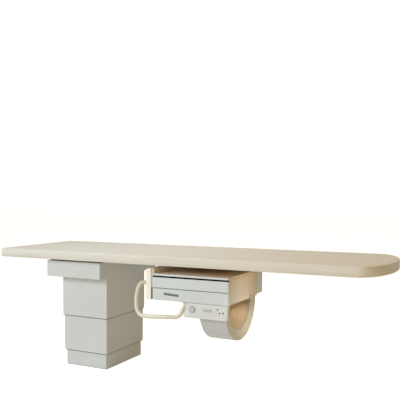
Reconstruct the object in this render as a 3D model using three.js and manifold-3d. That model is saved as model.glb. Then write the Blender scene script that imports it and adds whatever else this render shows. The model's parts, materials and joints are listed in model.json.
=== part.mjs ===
// Radiography table: a four-way floating top on a telescopic pedestal, with a Bucky unit (the tray
// that holds the imaging cassette) travelling on two rails under the top.
// Millimetres, +Z up. The origin is on the floor under the pedestal's centre, +X runs along the top
// towards its rounded end, and -Y faces the operator.

import * as THREE from 'three';
import { mergeVertices } from 'three/addons/utils/BufferGeometryUtils.js';
import Module from 'manifold-3d';

const wasm = await Module();
wasm.setup();

// Driving dimensions

const seat = 0.3;    // gap left between two bolted faces
const glide = 0.4;   // running gap between two sliding faces

const table = {
  length: 2400,
  width: 700,
  thickness: 54,
  height: 732,       // floor to the patient's surface, as photographed
  leftReach: 562,    // pedestal axis to the square end
  noseDepth: 150,    // depth of the rounded end
  cornerRadius: 10,
  edgeRound: 6,
};

const lift = {
  up: 150,           // travel of the head above the photographed height
  down: 175,
  spare: 12,         // clearance left between stages at the end of travel
};

const floating = {
  across: 100,       // travel of the top to each side
  left: 350,
  right: 300,
  endSpare: 35,      // rail left beyond a guide at the end of travel
};

const floorPlate = {
  thickness: 15,
  boltInset: 23,     // plate edge to bolt centre
  boltRadius: 8,
  holeClearance: 0.5,
  headFlats: 24,
  headHeight: 12,
};

const cover = {
  wall: 3,
  cornerRadius: 5,
  baseHalfX: 152,
  baseHalfY: 198.5,
  middleStep: 10.5,  // how far each cover stands outside the one below it
  upperStep: 7,
  floorGap: 2,
  baseReveal: 96,    // height of the base cover that shows
  middleReveal: 219,
  overlap: 75,       // cover overlap left at full height
};

const column = {
  halfX: 80,         // the inner column, each lower one is a stage larger
  halfY: 110,
  wall: 8,
  slack: 2,          // air between two columns
  cornerRadius: 10,
  collarHeight: 8,
  bracketThickness: 7,
  bracketDrop: 20,   // bracket below the top of its column
};

const actuator = {
  rodRadius: 18,
  tubeWall: 7.6,
  bodyWall: 8.6,
  stagger: 15,       // each screw stage starts this much above its column
  sides: 24,
  motorRadius: 28,
  motorLength: 140,
  gearboxWidth: 90,
  gearboxHeight: 45,
  gearboxMargin: 3,
};

const head = {
  left: 231,
  right: 177,
  front: 295,
  back: 355,
  height: 98,
  wall: 3,
  cornerRadius: 10,
  topGap: 14,        // shadow gap to the top's underside
  plate: 12,
};

const rail = {
  headWidth: 38,
  headHeight: 5,
  neckWidth: 22,
  neckHeight: 6,
};

const guide = {
  cheek: 11,
  lip: 4,
  crossLength: 220,
  topLength: 280,
};

const saddle = {
  centreX: -40,
  halfX: 170,
  halfY: 180,
  plate: 10,
  rise: 38.7,        // head plate to saddle plate
  crossRailHalf: 130,
  topRailHalf: 150,
};

const brake = {
  magnetRadius: 30,
  coreRadius: 14,
  coilDepth: 6,
  airGap: 0.7,
  stripWidth: 70,
  stripThickness: 5.7,
};

const bucky = {
  centreX: 806.5,
  front: 350,        // front face ahead of the table's centre line
  width: 463,
  depth: 415,
  height: 147,
  topGap: 44,        // top cover to the table top's underside
  wall: 3,
  sideCover: 5.7,
  handleCover: 49.7, // the left side cover is thicker and taller, for the handle
  handleCoverTop: 172,
  handleCoverFront: 1.5,
  trimSlot: 12,      // dark slot between the left cover and the front panels
  frontPanel: 9.7,
  topCover: 11,
  shadowSlot: 9,     // dark slot under the top cover
  upperFront: 58,
  seam: 3,           // upper front panel to tray front
  trayClearance: 1,
  windowRim: 12,
  windowThickness: 2,
  windowPocket: 2.5,
  gridThickness: 8,
  gridDrop: 12,      // grid below the top cover
  gridInset: 10,
  edgeRound: 2,
};

const tray = {
  runnerWidth: 20,
  runnerHeight: 3,
  runnerInset: 16,
  sideGap: 1.5,
  floor: 3,
  wallHeight: 20,
  backGap: 22,
  jawThickness: 12,
  jawHeight: 17,
  jawInset: 6,
  gripLength: 95,
  gripHeight: 13,
  gripSlant: 2.5,
  gripDepth: 6.5,
  gripX: -112,       // grip centre from the unit's centre line
  gripZ: 36,         // grip centre above the unit's underside
};

const bridge = {
  beamThickness: 30,
  railWidth: 30,
  railHeight: 18,
  frontY: 95,
  rearY: 165,
  beamMargin: 10,
  endBeyond: 34,     // rail beyond the unit's right side
  endBar: 12,
  shoeWall: 5,
  shoeCheek: 8,
  shoeLength: 400,
  notchGap: 1,
  carriageWidth: 430,
  carriageMargin: 3.9, // carriage behind its rear shoe
};

const panel = {
  height: 80.7,
  thickness: 24,
  topLeft: -17,      // left and right ends from the unit's centre line
  topRight: 229,
  bottomLeft: -40,
  bottomRight: 220,
  cornerRadius: 5,
  edgeRound: 2.5,
  pocketDepth: 11,
  pressX: 19.5,
  rowZ: -33,         // row of controls below the unit's underside
  bezelSize: 44,
  bezelProud: 2,
  pressRadius: 14,
  pressProud: 3.5,
  pressSunk: 7,
  keyCount: 3,
  keyX: 92,
  keyPitch: 17,
  keyWidth: 13,
  keyHeight: 17,
  keyProud: 2,
  keySunk: 7,
  lampRadius: 4,
  lampProud: 1.2,
  grooveX: 77,
  grooveWidth: 1.6,
  grooveLength: 42,
  grooveDepth: 1.2,
};

const lamps = [
  { x: 168.5, z: -23 },
  { x: 180, z: -41 },
  { x: 200, z: -39 },
];

const guard = {
  left: 42.5,
  length: 156,
  axisY: 248,        // behind the unit's front face
  drop: 10,          // axis below the unit's underside
  radius: 221,
  wall: 16,
  endWall: 14,
  mouthRadius: 161,  // opening in the right end, inside a rounded lip
  lipDepth: 16,
  lipRound: 9,
  lipFlare: 34,
  steps: 32,
};

const handle = {
  radius: 12,
  sides: 16,
  steps: 72,
  flangeRadius: 19,
  flangeThickness: 5,
  sideY: 36,         // where it leaves the unit's left side
  sideZ: 85,
  footX: -38,        // where it meets the unit's underside
  footY: 29,
};

const gland = {
  radius: 13,
  nutRadius: 15,
  nutHeight: 9,
  domeLength: 20,
  boreRadius: 6,
  across: 150,       // from the unit's centre line, on the carriage's back
  above: 42,         // above the unit's underside
};

// Places worked out from the dimensions

const underside = table.height - table.thickness;
const headFloor = underside - head.topGap - head.height;
const plateTop = floorPlate.thickness;
const upperCoverBottom = cover.baseReveal + cover.middleReveal;
const middleCoverTop = upperCoverBottom + lift.up / 2 + cover.overlap;
const baseCoverTop = cover.baseReveal + lift.up / 2 + cover.overlap;
const middleColumnTop = middleCoverTop - column.collarHeight - seat;
const bracketTop = middleColumnTop - column.bracketDrop;
const bracketBottom = bracketTop - column.bracketThickness;
const baseCollarTop = bracketBottom - lift.down / 2 - lift.spare;
const baseColumnTop = baseCollarTop - column.collarHeight - seat;
const middleColumnBottom = plateTop + lift.down / 2 + lift.spare;
const upperColumnBottom = plateTop + lift.down + lift.spare;
const stage = column.wall + column.slack;
const railHeight = rail.headHeight + rail.neckHeight;
const buckyBottom = underside - bucky.topGap - bucky.height;

// Shapes and solids

function roundedOutline(corners, radius) {
  const shape = new THREE.Shape();
  const count = corners.length;
  corners.forEach((corner, i) => {
    const point = new THREE.Vector2(...corner);
    const before = new THREE.Vector2(...corners[(i + count - 1) % count]);
    const after = new THREE.Vector2(...corners[(i + 1) % count]);
    const start = point.clone().add(before.sub(point).setLength(radius));
    const end = point.clone().add(after.sub(point).setLength(radius));
    if (i === 0) {
      shape.moveTo(start.x, start.y);
    } else {
      shape.lineTo(start.x, start.y);
    }
    shape.quadraticCurveTo(point.x, point.y, end.x, end.y);
  });
  shape.closePath();
  return shape;
}

function roundedRectangle(x0, x1, y0, y1, radius) {
  return roundedOutline([[x0, y0], [x1, y0], [x1, y1], [x0, y1]], radius);
}

function centredRectangle(halfX, halfY, radius) {
  return roundedRectangle(-halfX, halfX, -halfY, halfY, radius);
}

function polygon(points) {
  return new THREE.Shape(points.map(([x, y]) => new THREE.Vector2(x, y)));
}

function circle(radius) {
  return new THREE.Shape().absarc(0, 0, radius, 0, 2 * Math.PI, false);
}

// A frame between two rounded rectangles of the same centre.
function frameShape(halfX, halfY, wall, radius) {
  const shape = centredRectangle(halfX, halfY, radius);
  shape.holes.push(centredRectangle(halfX - wall, halfY - wall, Math.max(radius - wall, 1)));
  return shape;
}

// Extrudes along +Z from z0 to z1, with the edges rounded by an optional bevel inside the outline.
function extrudeZ(shape, z0, z1, round = 0, curveSegments = 4, bevelSegments = 1) {
  const geometry = new THREE.ExtrudeGeometry(shape, {
    depth: z1 - z0 - 2 * round,
    curveSegments,
    bevelEnabled: round > 0,
    bevelThickness: round,
    bevelSize: round,
    bevelOffset: -round,
    bevelSegments,
  });
  return geometry.translate(0, 0, z0 + round);
}

// The shape is drawn in (y, z) and extruded along +X.
function extrudeX(shape, x0, x1, round = 0, curveSegments = 4) {
  const turn = new THREE.Matrix4().makeBasis(
    new THREE.Vector3(0, 1, 0),
    new THREE.Vector3(0, 0, 1),
    new THREE.Vector3(1, 0, 0),
  );
  return extrudeZ(shape, x0, x1, round, curveSegments).applyMatrix4(turn);
}

// The shape is drawn in (x, z) and extruded from y1 towards -Y, down to y0.
function extrudeY(shape, y0, y1, round = 0, curveSegments = 4) {
  return extrudeZ(shape, -y1, -y0, round, curveSegments).rotateX(Math.PI / 2);
}

function block(x0, x1, y0, y1, z0, z1) {
  const geometry = new THREE.BoxGeometry(x1 - x0, y1 - y0, z1 - z0);
  return geometry.translate((x0 + x1) / 2, (y0 + y1) / 2, (z0 + z1) / 2);
}

function revolve(profile, sides) {
  const points = profile.map(([radius, z]) => new THREE.Vector2(radius, z));
  return new THREE.LatheGeometry(points, sides).rotateX(Math.PI / 2);
}

function cylinder(radius, z0, z1, sides) {
  return revolve([[0, z0], [radius, z0], [radius, z1], [0, z1]], sides);
}

function tube(radius, wall, z0, z1, sides) {
  const inner = radius - wall;
  return revolve([[inner, z0], [radius, z0], [radius, z1], [inner, z1], [inner, z0]], sides);
}

function toSolid(geometry) {
  const bare = geometry.clone();
  bare.deleteAttribute('normal');
  bare.deleteAttribute('uv');
  const merged = mergeVertices(bare, 1e-4);
  return new wasm.Manifold(new wasm.Mesh({
    numProp: 3,
    vertProperties: new Float32Array(merged.attributes.position.array),
    triVerts: new Uint32Array(merged.index.array),
  }));
}

function toGeometry(solid) {
  const mesh = solid.getMesh();
  const geometry = new THREE.BufferGeometry();
  geometry.setAttribute('position', new THREE.BufferAttribute(mesh.vertProperties, 3));
  geometry.setIndex(new THREE.BufferAttribute(mesh.triVerts, 1));
  return geometry;
}

function cut(geometry, ...tools) {
  return toGeometry(tools.reduce((solid, tool) => solid.subtract(toSolid(tool)), toSolid(geometry)));
}

function join(geometry, ...others) {
  return toGeometry(others.reduce((solid, other) => solid.add(toSolid(other)), toSolid(geometry)));
}

// Finishes

const finishes = {
  enamel: { color: 0xd2d3ce, roughness: 0.45, metalness: 0.0 },
  moulding: { color: 0xd4d6d2, roughness: 0.5, metalness: 0.0 },
  laminate: { color: 0xdcd2bd, roughness: 0.5, metalness: 0.0 },
  beige: { color: 0xcfb48c, roughness: 0.5, metalness: 0.0 },
  brown: { color: 0x84694f, roughness: 0.4, metalness: 0.0 },
  cream: { color: 0xe4e0c8, roughness: 0.4, metalness: 0.0 },
  grey: { color: 0xb4b2ad, roughness: 0.5, metalness: 0.0 },
  steel: { color: 0x9a9da0, roughness: 0.35, metalness: 1.0 },
  aluminium: { color: 0xb8babc, roughness: 0.4, metalness: 1.0 },
  dark: { color: 0x3a3b3d, roughness: 0.6, metalness: 0.0 },
  magnet: { color: 0x5a5d61, roughness: 0.5, metalness: 0.8 },
  keycap: { color: 0x9fa5a8, roughness: 0.5, metalness: 0.0 },
};

function piece(group, name, geometry, finish, place = [0, 0, 0]) {
  const mesh = new THREE.Mesh(geometry, new THREE.MeshStandardMaterial(finishes[finish]));
  mesh.name = name;
  mesh.position.set(...place);
  group.add(mesh);
  return mesh;
}

// Rails and guides: a T rail and the block that wraps its head

function railProfile() {
  const wide = rail.headWidth / 2;
  const slim = rail.neckWidth / 2;
  return polygon([
    [-wide, 0], [wide, 0], [wide, rail.headHeight], [slim, rail.headHeight],
    [slim, railHeight], [-slim, railHeight], [-slim, rail.headHeight], [-wide, rail.headHeight],
  ]);
}

function guideProfile(below) {
  const wide = rail.headWidth / 2 + glide;
  const slim = rail.neckWidth / 2 + glide;
  const outer = wide + guide.cheek;
  const roof = rail.headHeight + glide;
  const top = roof + guide.lip;
  return polygon([
    [-outer, -below], [outer, -below], [outer, top], [slim, top], [slim, roof], [wide, roof],
    [wide, -glide], [-wide, -glide], [-wide, roof], [-slim, roof], [-slim, top], [-outer, top],
  ]);
}

// Base: floor plate, anchors, cover, outer column and the lift drive

function anchorBolt() {
  const radius = floorPlate.headFlats / Math.sqrt(3);
  const headBolt = cylinder(radius, plateTop + seat, plateTop + seat + floorPlate.headHeight, 6);
  const shank = cylinder(floorPlate.boltRadius, seat, plateTop + floorPlate.headHeight / 2, 12);
  return join(headBolt, shank);
}

function buildBase() {
  const base = new THREE.Group();
  const inset = cover.wall + seat;
  const plateX = cover.baseHalfX - inset;
  const plateY = cover.baseHalfY - inset;
  const boltX = plateX - floorPlate.boltInset;
  const boltY = plateY - floorPlate.boltInset;
  const plate = extrudeZ(centredRectangle(plateX, plateY, cover.cornerRadius - inset), 0, plateTop);
  const boltPlaces = [[-boltX, -boltY], [boltX, -boltY], [boltX, boltY], [-boltX, boltY]];
  const holeRadius = floorPlate.boltRadius + floorPlate.holeClearance;
  const holes = boltPlaces.map(([x, y]) => cylinder(holeRadius, -1, plateTop + 1, 12).translate(x, y, 0));
  piece(base, 'floor_plate', cut(plate, ...holes), 'steel');
  boltPlaces.forEach(([x, y], i) => {
    piece(base, `anchor_bolt_${i + 1}`, anchorBolt(), 'steel', [x, y, 0]);
  });

  const shell = frameShape(cover.baseHalfX, cover.baseHalfY, cover.wall, cover.cornerRadius);
  piece(base, 'base_cover', extrudeZ(shell, cover.floorGap, baseCoverTop), 'enamel');

  const halfX = column.halfX + 2 * stage;
  const halfY = column.halfY + 2 * stage;
  const post = frameShape(halfX, halfY, column.wall, column.cornerRadius);
  piece(base, 'base_column', extrudeZ(post, plateTop + seat, baseColumnTop), 'steel');
  const collar = frameShape(halfX, halfY, stage - glide, column.cornerRadius);
  piece(base, 'base_glide_collar', extrudeZ(collar, baseColumnTop + seat, baseCollarTop), 'dark');

  const bodyRadius = actuator.rodRadius + actuator.tubeWall + actuator.bodyWall + 2 * glide;
  const body = tube(bodyRadius, actuator.bodyWall, plateTop + seat, baseColumnTop, actuator.sides);
  piece(base, 'actuator_body', body, 'aluminium');
  const gearY = bodyRadius + seat;
  const gearDepth = 2 * (actuator.motorRadius + actuator.gearboxMargin);
  const gearHalf = actuator.gearboxWidth / 2;
  const gearTop = plateTop + seat + actuator.gearboxHeight;
  const gearShape = roundedRectangle(-gearHalf, gearHalf, gearY, gearY + gearDepth, 6);
  piece(base, 'lift_gearbox', extrudeZ(gearShape, plateTop + seat, gearTop), 'aluminium');
  const motor = cylinder(actuator.motorRadius, 0, actuator.motorLength, actuator.sides);
  piece(base, 'lift_motor', motor, 'dark', [0, gearY + gearDepth / 2, gearTop + seat]);
  return base;
}

// Middle stage: it travels half as far as the head

function buildMiddle() {
  const middle = new THREE.Group();
  const coverX = cover.baseHalfX + cover.middleStep;
  const coverY = cover.baseHalfY + cover.middleStep;
  const shell = frameShape(coverX, coverY, cover.wall, cover.cornerRadius);
  piece(middle, 'middle_cover', extrudeZ(shell, cover.baseReveal, middleCoverTop), 'enamel');

  const halfX = column.halfX + stage;
  const halfY = column.halfY + stage;
  const post = frameShape(halfX, halfY, column.wall, column.cornerRadius);
  piece(middle, 'middle_column', extrudeZ(post, middleColumnBottom, middleColumnTop), 'steel');
  const collar = frameShape(halfX, halfY, stage - glide, column.cornerRadius);
  piece(middle, 'middle_glide_collar', extrudeZ(collar, middleColumnTop + seat, middleCoverTop), 'dark');

  const inset = cover.wall + seat;
  const ring = centredRectangle(coverX - inset, coverY - inset, cover.cornerRadius - inset);
  ring.holes.push(centredRectangle(halfX + seat, halfY + seat, column.cornerRadius + seat));
  piece(middle, 'middle_cover_bracket', extrudeZ(ring, bracketBottom, bracketTop), 'steel');

  const radius = actuator.rodRadius + actuator.tubeWall + glide;
  const start = middleColumnBottom + actuator.stagger;
  const screw = tube(radius, actuator.tubeWall, start, middleColumnTop, actuator.sides);
  piece(middle, 'actuator_middle_tube', screw, 'aluminium');
  return middle;
}

// Head: upper stage, head box, cross rails and the rails that carry the Bucky unit

function headOutline(inset) {
  return roundedRectangle(-head.left + inset, head.right - inset, -head.front + inset, head.back - inset,
    head.cornerRadius - inset);
}

function bridgeRailBottom() {
  return underside - headFloor - bucky.topGap + seat + bridge.shoeWall + glide;
}

function headCover() {
  const box = extrudeZ(headOutline(0), 0, head.height);
  const space = extrudeZ(headOutline(head.wall), head.wall, head.height + 1);
  const half = bridge.railWidth / 2 + bridge.notchGap;
  const notchBottom = bridgeRailBottom() - bridge.notchGap;
  const notches = [bridge.frontY, bridge.rearY].map((y) =>
    block(head.right - 2 * head.wall, head.right + 1, y - half, y + half, notchBottom, head.height + 1));
  return cut(box, space, ...notches);
}

function buildHead() {
  const upper = new THREE.Group();
  upper.position.z = headFloor;
  const coverX = cover.baseHalfX + cover.middleStep + cover.upperStep;
  const coverY = cover.baseHalfY + cover.middleStep + cover.upperStep;
  const shell = frameShape(coverX, coverY, cover.wall, cover.cornerRadius);
  piece(upper, 'upper_cover', extrudeZ(shell, upperCoverBottom - headFloor, -seat), 'enamel');
  const post = frameShape(column.halfX, column.halfY, column.wall, column.cornerRadius);
  piece(upper, 'upper_column', extrudeZ(post, upperColumnBottom - headFloor, -seat), 'steel');
  const rodBottom = upperColumnBottom + 2 * actuator.stagger - headFloor;
  piece(upper, 'actuator_rod', cylinder(actuator.rodRadius, rodBottom, -seat, actuator.sides), 'steel');

  piece(upper, 'head_cover', headCover(), 'enamel');
  const plateBottom = head.wall + seat;
  const headPlateTop = plateBottom + head.plate;
  piece(upper, 'head_plate', extrudeZ(headOutline(head.wall + seat), plateBottom, headPlateTop), 'steel');

  const reach = guide.crossLength / 2 + floating.across + floating.endSpare;
  ['left', 'right'].forEach((side, i) => {
    const x = saddle.centreX + (i ? 1 : -1) * saddle.crossRailHalf;
    const bar = extrudeY(railProfile(), -reach, reach).rotateY(Math.PI);
    piece(upper, `cross_rail_${side}`, bar, 'steel', [x, 0, headPlateTop + seat + railHeight]);
  });

  const railBottom = bridgeRailBottom();
  const railTop = railBottom + bridge.railHeight;
  const half = bridge.railWidth / 2;
  const beamRight = head.right - head.wall - seat;
  const beamFront = bridge.frontY - half - bridge.beamMargin;
  const beamBack = bridge.rearY + half + bridge.beamMargin;
  const beam = block(beamRight - bridge.beamThickness, beamRight, beamFront, beamBack,
    headPlateTop + seat, railTop);
  piece(upper, 'rail_mount_beam', beam, 'steel');
  const railStart = beamRight + seat;
  const railEnd = bucky.centreX + bucky.width / 2 + bridge.endBeyond;
  [['front', bridge.frontY], ['rear', bridge.rearY]].forEach(([side, y]) => {
    const bar = roundedRectangle(y - half, y + half, railBottom, railTop, 2);
    piece(upper, `bucky_rail_${side}`, extrudeX(bar, railStart, railEnd, 0, 2), 'steel');
  });
  const barStart = railEnd + seat;
  const endBar = block(barStart, barStart + bridge.endBar, beamFront, beamBack, railBottom, railTop);
  piece(upper, 'rail_end_bar', endBar, 'dark');

  upper.add(buildSaddle(headPlateTop));
  return upper;
}

// Saddle: it slides across the head and guides the top along its length

function potMagnet(length) {
  const { magnetRadius, coreRadius, coilDepth } = brake;
  const shell = magnetRadius - (magnetRadius - coreRadius) / 3;
  return revolve([
    [0, 0], [magnetRadius, 0], [magnetRadius, length], [shell, length], [shell, length - coilDepth],
    [coreRadius, length - coilDepth], [coreRadius, length], [0, length],
  ], actuator.sides);
}

function buildSaddle(headPlateTop) {
  const carriage = new THREE.Group();
  const plateZ = headPlateTop + saddle.rise;
  carriage.position.set(saddle.centreX, 0, plateZ);
  const outline = centredRectangle(saddle.halfX, saddle.halfY, head.cornerRadius);
  piece(carriage, 'saddle_plate', extrudeZ(outline, 0, saddle.plate), 'steel');

  const crossRailTop = headPlateTop + seat + railHeight - plateZ;
  const crossHalf = guide.crossLength / 2;
  ['left', 'right'].forEach((side, i) => {
    const x = (i ? 1 : -1) * saddle.crossRailHalf;
    const shoe = extrudeY(guideProfile(-seat - crossRailTop), -crossHalf, crossHalf).rotateY(Math.PI);
    piece(carriage, `cross_guide_${side}`, shoe, 'aluminium', [x, 0, crossRailTop]);
  });

  const topRailBottom = underside - headFloor - seat - railHeight - plateZ;
  const topHalf = guide.topLength / 2;
  ['front', 'rear'].forEach((side, i) => {
    const y = (i ? 1 : -1) * saddle.topRailHalf;
    const riser = topRailBottom - saddle.plate - seat;
    const shoe = extrudeX(guideProfile(riser), -topHalf, topHalf);
    piece(carriage, `top_guide_${side}`, shoe, 'aluminium', [0, y, topRailBottom]);
  });

  const crossGap = saddle.rise - seat - brake.airGap;
  const crossMagnet = potMagnet(crossGap).rotateX(Math.PI);
  piece(carriage, 'cross_brake_magnet', crossMagnet, 'magnet', [0, 0, -seat]);
  const stripBottom = underside - headFloor - seat - brake.stripThickness - plateZ;
  const topGap = stripBottom - saddle.plate - seat - brake.airGap;
  piece(carriage, 'top_brake_magnet', potMagnet(topGap), 'magnet', [0, 0, saddle.plate + seat]);
  return carriage;
}

// Top: a panel with a rounded end, its rails and the strip that the brake holds

function topOutline() {
  const half = table.width / 2;
  const left = -table.leftReach;
  const noseStart = left + table.length - table.noseDepth;
  const radius = table.cornerRadius;
  const outline = new THREE.Shape();
  outline.moveTo(noseStart, -half);
  outline.absellipse(noseStart, 0, table.noseDepth, half, -Math.PI / 2, Math.PI / 2, false, 0);
  outline.lineTo(left + radius, half);
  outline.absarc(left + radius, half - radius, radius, Math.PI / 2, Math.PI, false);
  outline.absarc(left + radius, radius - half, radius, Math.PI, 1.5 * Math.PI, false);
  outline.closePath();
  return outline;
}

function buildTop() {
  const top = new THREE.Group();
  top.position.z = underside;
  const slab = extrudeZ(topOutline(), 0, table.thickness, table.edgeRound, 32, 3);
  piece(top, 'tabletop_panel', slab, 'laminate');
  const topHalf = guide.topLength / 2 + floating.endSpare;
  const start = saddle.centreX - topHalf - floating.right;
  const end = saddle.centreX + topHalf + floating.left;
  ['front', 'rear'].forEach((side, i) => {
    const y = (i ? 1 : -1) * saddle.topRailHalf;
    piece(top, `top_rail_${side}`, extrudeX(railProfile(), start, end), 'steel', [0, y, -seat - railHeight]);
  });
  const half = brake.stripWidth / 2;
  piece(top, 'top_brake_strip', block(start, end, -half, half, -seat - brake.stripThickness, -seat), 'steel');
  return top;
}

// Bucky unit: housing and covers, grid, control panel, cable guard, handle and rear carriage

const unitHalf = bucky.width / 2;
const housingHalf = unitHalf - bucky.sideCover - seat;
const housingFront = bucky.frontPanel + seat;
const topCoverBottom = bucky.height - bucky.topCover;
const upperFrontTop = topCoverBottom - bucky.shadowSlot;
const upperFrontBottom = upperFrontTop - bucky.upperFront;
const trayFrontTop = upperFrontBottom - bucky.seam;
const runnerTop = bucky.wall + tray.runnerHeight;
const coverInner = housingHalf + seat;
const shoeHalf = bridge.railWidth / 2 + glide + bridge.shoeCheek;
const carriageBack = bucky.front + bridge.rearY + shoeHalf + bridge.carriageMargin;

function buckyHousing() {
  const box = block(-housingHalf, housingHalf, housingFront, bucky.depth, 0, topCoverBottom - seat);
  const inner = housingHalf - bucky.wall;
  const space = block(-inner, inner, 0, bucky.depth - bucky.wall, bucky.wall, bucky.height);
  const runners = [-1, 1].map((side) => {
    const x = side * (inner - tray.runnerInset - tray.runnerWidth / 2);
    const half = tray.runnerWidth / 2;
    return block(x - half, x + half, housingFront, bucky.depth - bucky.wall / 2, bucky.wall / 2, runnerTop);
  });
  return join(cut(box, space), ...runners);
}

// The left cover carries the handle. Its front is set back behind a slot beside the front panels, and
// its inner edge passes under the top cover.
function handleCover() {
  const outer = -coverInner - bucky.handleCover;
  const side = roundedRectangle(bucky.handleCoverFront, bucky.depth, 0, bucky.handleCoverTop, 4);
  const body = extrudeX(side, outer, -coverInner, bucky.edgeRound);
  const above = bucky.handleCoverTop + 1;
  const slot = block(-unitHalf - bucky.trimSlot, 0, -1, housingFront + bucky.edgeRound, -1, above);
  const notch = block(-unitHalf - seat, 0, 0, bucky.depth + 1, topCoverBottom - seat, above);
  return cut(body, slot, notch);
}

function windowOutline(inset) {
  const rim = bucky.windowRim + inset;
  return roundedRectangle(-unitHalf + rim, unitHalf - rim, rim, bucky.depth - rim, 8);
}

function controlPanel() {
  const bottom = -seat - panel.height;
  const face = roundedOutline([
    [panel.bottomLeft, bottom], [panel.bottomRight, bottom],
    [panel.topRight, -seat], [panel.topLeft, -seat],
  ], panel.cornerRadius);
  const body = extrudeY(face, 0, panel.thickness, panel.edgeRound);
  const bezelHalf = panel.bezelSize / 2;
  const bezel = extrudeY(centredRectangle(bezelHalf, bezelHalf, 4), -panel.bezelProud, 1)
    .translate(panel.pressX, 0, panel.rowZ);
  const domes = lamps.map(({ x, z }) => {
    const dome = revolve([[0, -1], [panel.lampRadius, -1], [panel.lampRadius, 0], [0, panel.lampProud]], 16);
    return dome.rotateX(Math.PI / 2).translate(x, 0, z);
  });
  const pocketRadius = panel.pressRadius + glide;
  const pressPocket = cylinder(pocketRadius, -panel.pocketDepth, 2 * panel.bezelProud, actuator.sides)
    .rotateX(Math.PI / 2).translate(panel.pressX, 0, panel.rowZ);
  const keyPockets = keyPlaces().map((x) => {
    const hole = centredRectangle(panel.keyWidth / 2 + glide, panel.keyHeight / 2 + glide, 2 + glide);
    return extrudeY(hole, -1, panel.pocketDepth).translate(x, 0, panel.rowZ);
  });
  const grooveHalf = panel.grooveLength / 2;
  const groove = block(panel.grooveX, panel.grooveX + panel.grooveWidth, -1, panel.grooveDepth,
    panel.rowZ - grooveHalf, panel.rowZ + grooveHalf);
  return cut(join(body, bezel, ...domes), pressPocket, ...keyPockets, groove);
}

function keyPlaces() {
  return Array.from({ length: panel.keyCount }, (_, i) => panel.keyX + i * panel.keyPitch);
}

function pressButton() {
  const { pressRadius, pressSunk, pressProud } = panel;
  const front = panel.bezelProud + pressProud;
  return revolve([
    [0, -pressSunk], [pressRadius, -pressSunk], [pressRadius, front - 1.5], [pressRadius - 1.5, front],
    [0, front - 1.5],
  ], actuator.sides).rotateX(Math.PI / 2);
}

function keyCap() {
  const face = centredRectangle(panel.keyWidth / 2, panel.keyHeight / 2, 2);
  return extrudeY(face, -panel.keyProud, panel.keySunk, 0.8);
}

// A half drum under the unit that shields the loop of the unit's cable. Its right end is open, with a
// rounded lip turned inwards.
function halfDisc(radius, rise) {
  const shape = new THREE.Shape().absarc(0, 0, radius, Math.PI, 2 * Math.PI, false);
  if (rise > 0) {
    shape.lineTo(radius, rise).lineTo(-radius, rise);
  }
  shape.closePath();
  return shape;
}

function guardMouth() {
  const { mouthRadius, lipDepth, lipRound, lipFlare, radius, steps } = guard;
  const flare = Array.from({ length: 7 }, (_, i) => {
    const angle = (i / 6) * (Math.PI / 2);
    return [mouthRadius + lipFlare * (1 - Math.cos(angle)), lipRound * (Math.sin(angle) - 1)];
  });
  const bell = revolve([
    [0, -lipDepth - 1], [mouthRadius, -lipDepth - 1], ...flare, [mouthRadius + lipFlare, 1], [0, 1],
  ], 2 * steps).rotateY(Math.PI / 2);
  return cut(bell, block(-2 * lipDepth, lipDepth, -radius, radius, 0, radius));
}

function cableGuard() {
  const right = guard.left + guard.length;
  const drum = extrudeX(halfDisc(guard.radius, guard.drop), guard.left, right, 0, guard.steps);
  const inner = halfDisc(guard.radius - guard.wall, 0);
  const space = extrudeX(inner, guard.left + guard.endWall, right - guard.lipDepth, 0, guard.steps);
  return cut(drum, space, guardMouth().translate(right, 0, 0));
}

// The handle leaves the left side, loops down round the front corner and rises to the underside.
function wrapHandle() {
  const sideX = -coverInner - bucky.handleCover - seat;
  const overlap = 2;
  const points = [
    [sideX - overlap, handle.sideY, handle.sideZ],
    [sideX - handle.radius, handle.sideY, handle.sideZ],
    [sideX - 28, handle.sideY - 4, handle.sideZ + 4],
    [sideX - 44, handle.sideY - 14, handle.sideZ],
    [sideX - 55, handle.sideY - 24, handle.sideZ - 25],
    [sideX - 60, handle.sideY - 34, handle.sideZ - 62],
    [sideX - 57, handle.sideY - 44, handle.sideZ - 108],
    [sideX - 45, handle.sideY - 52, handle.sideZ - 146],
    [sideX - 26, handle.sideY - 57, handle.sideZ - 168],
    [sideX + 6, handle.sideY - 58, handle.sideZ - 175],
    [handle.footX - 110, handle.sideY - 50, handle.sideZ - 171],
    [handle.footX - 46, handle.sideY - 42, handle.sideZ - 168],
    [handle.footX - 22, handle.sideY - 36, handle.sideZ - 157],
    [handle.footX - 9, handle.footY - 20, handle.sideZ - 133],
    [handle.footX - 2, handle.footY - 6, handle.sideZ - 113],
    [handle.footX, handle.footY, -handle.radius],
    [handle.footX, handle.footY, -seat - overlap],
  ].map(([x, y, z]) => new THREE.Vector3(x, y, z));
  const path = new THREE.CatmullRomCurve3(points);
  const bar = new THREE.ExtrudeGeometry(circle(handle.radius), {
    steps: handle.steps,
    curveSegments: handle.sides / 2,
    extrudePath: path,
  });
  const flange = cylinder(handle.flangeRadius, 0, handle.flangeThickness, actuator.sides);
  const sideFlange = flange.clone().rotateY(-Math.PI / 2).translate(sideX, handle.sideY, handle.sideZ);
  const footFlange = flange.clone().rotateX(Math.PI).translate(handle.footX, handle.footY, -seat);
  return join(bar, sideFlange, footFlange);
}

function rearCarriage() {
  const half = bridge.carriageWidth / 2;
  const front = bucky.depth + seat;
  const back = carriageBack;
  const box = block(-half, half, front, back, seat, bucky.height);
  const wall = bucky.wall;
  return cut(box, block(-half + wall, half - wall, front - 1, back - wall, seat + wall, bucky.height - wall));
}

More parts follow.
